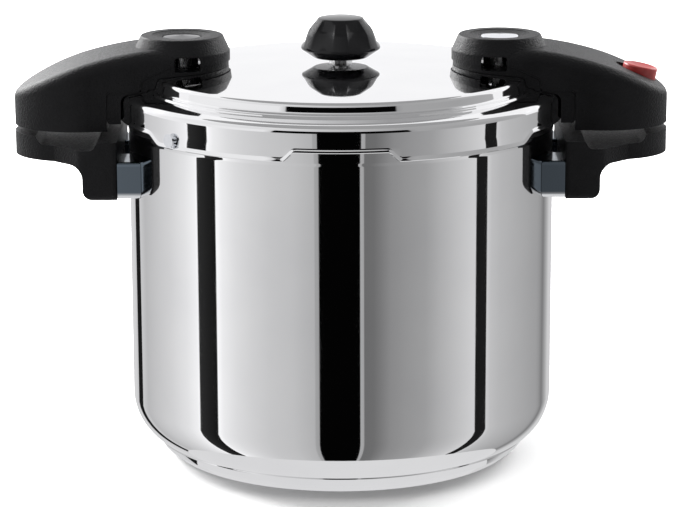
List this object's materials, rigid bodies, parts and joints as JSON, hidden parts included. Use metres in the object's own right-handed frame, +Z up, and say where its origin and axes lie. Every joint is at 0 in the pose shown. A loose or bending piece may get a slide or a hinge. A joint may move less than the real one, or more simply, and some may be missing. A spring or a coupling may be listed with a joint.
{
  "type": "pressure canner",
  "caption": "Tall stainless pressure pot with a twist-lock lid, side handles on pot and lid, a central weight, a pressure indicator and a lock button.",
  "frame": {"origin": "centre of the flat underside of the base", "axes": "+Z up along the pot axis; +X towards the handle with the lock button; -Y is the front"},
  "size_m": [0.375, 0.256, 0.2526],
  "materials": {
    "polished_steel": "mirror polished stainless steel",
    "core_aluminium": "bare",
    "chrome_trim": "bright chrome",
    "black_moulding": "finely textured black phenolic",
    "satin_black_moulding": "satin black phenolic",
    "gloss_black": "glossy black",
    "red_button": "satin translucent red",
    "silicone": "grey silicone",
    "brass_fittings": "nickel plated brass",
    "machined_steel": "machined stainless steel"
  },
  "bodies": {
    "pot": {"pot_shell": "polished_steel", "base_core": "core_aluminium", "base_cap": "polished_steel", "left_pot_handle": "black_moulding", "left_ferrules": "chrome_trim", "left_wall_studs": "machined_steel", "left_leg_screws": "machined_steel", "right_pot_handle": "black_moulding", "right_ferrules": "chrome_trim", "right_wall_studs": "machined_steel", "right_leg_screws": "machined_steel"},
    "lid": {"lid_shell": "polished_steel", "lid_gasket": "silicone", "stop_rivet": "chrome_trim", "left_lid_handle_cover": "black_moulding", "left_lid_handle_saddle": "black_moulding", "left_lid_handle_floor": "black_moulding", "left_lid_bracket": "machined_steel", "left_lid_handle_screws": "machined_steel", "right_lid_handle_cover": "black_moulding", "right_lid_handle_saddle": "black_moulding", "right_lid_handle_floor": "black_moulding", "right_lid_bracket": "machined_steel", "right_lid_handle_screws": "machined_steel", "indicator_sleeve": "brass_fittings", "indicator_nut": "brass_fittings", "safety_valve_body": "brass_fittings", "safety_valve_nut": "brass_fittings", "safety_valve_spring": "machined_steel", "safety_valve_cap": "brass_fittings", "left_hub_plug": "gloss_black", "vent_nozzle": "brass_fittings", "vent_nut": "brass_fittings", "vent_strainer": "machined_steel"},
    "weight": {"weight_core": "machined_steel"},
    "weight_knob": {"weight_cap": "satin_black_moulding"},
    "indicator": {"indicator_pin": "machined_steel", "indicator_disc": "chrome_trim", "indicator_seal": "silicone"},
    "safety_piston": {"safety_valve_piston": "machined_steel"},
    "lock": {"lock_button": "red_button", "lock_plate": "machined_steel"}
  },
  "joints": [
    {"name": "lid_turn", "type": "hinge", "parent": "pot", "child": "lid", "pos_m": [0, 0, 0.2], "axis": [0, 0, 1], "range_deg": [-33, 0]},
    {"name": "weight_lift", "type": "slide", "parent": "lid", "child": "weight", "axis": [0, 0, 1], "range_m": [0, 0.01]},
    {"name": "weight_spin", "type": "hinge", "parent": "weight", "child": "weight_knob", "pos_m": [0, 0, 0.24], "axis": [0, 0, 1], "continuous": true},
    {"name": "indicator_rise", "type": "slide", "parent": "lid", "child": "indicator", "axis": [0, 0, 1], "range_m": [0, 0.002]},
    {"name": "safety_lift", "type": "slide", "parent": "lid", "child": "safety_piston", "axis": [0, 0, 1], "range_m": [0, 0.002], "stiffness_N_per_m": 4000, "springref_m": -0.002, "deforming": ["safety_valve_spring"]},
    {"name": "lock_slide", "type": "slide", "parent": "lid", "child": "lock", "axis": [-0.9781, 0, 0.2079], "range_m": [0, 0.0035], "stiffness_N_per_m": 300, "springref_m": -0.002}
  ]
}
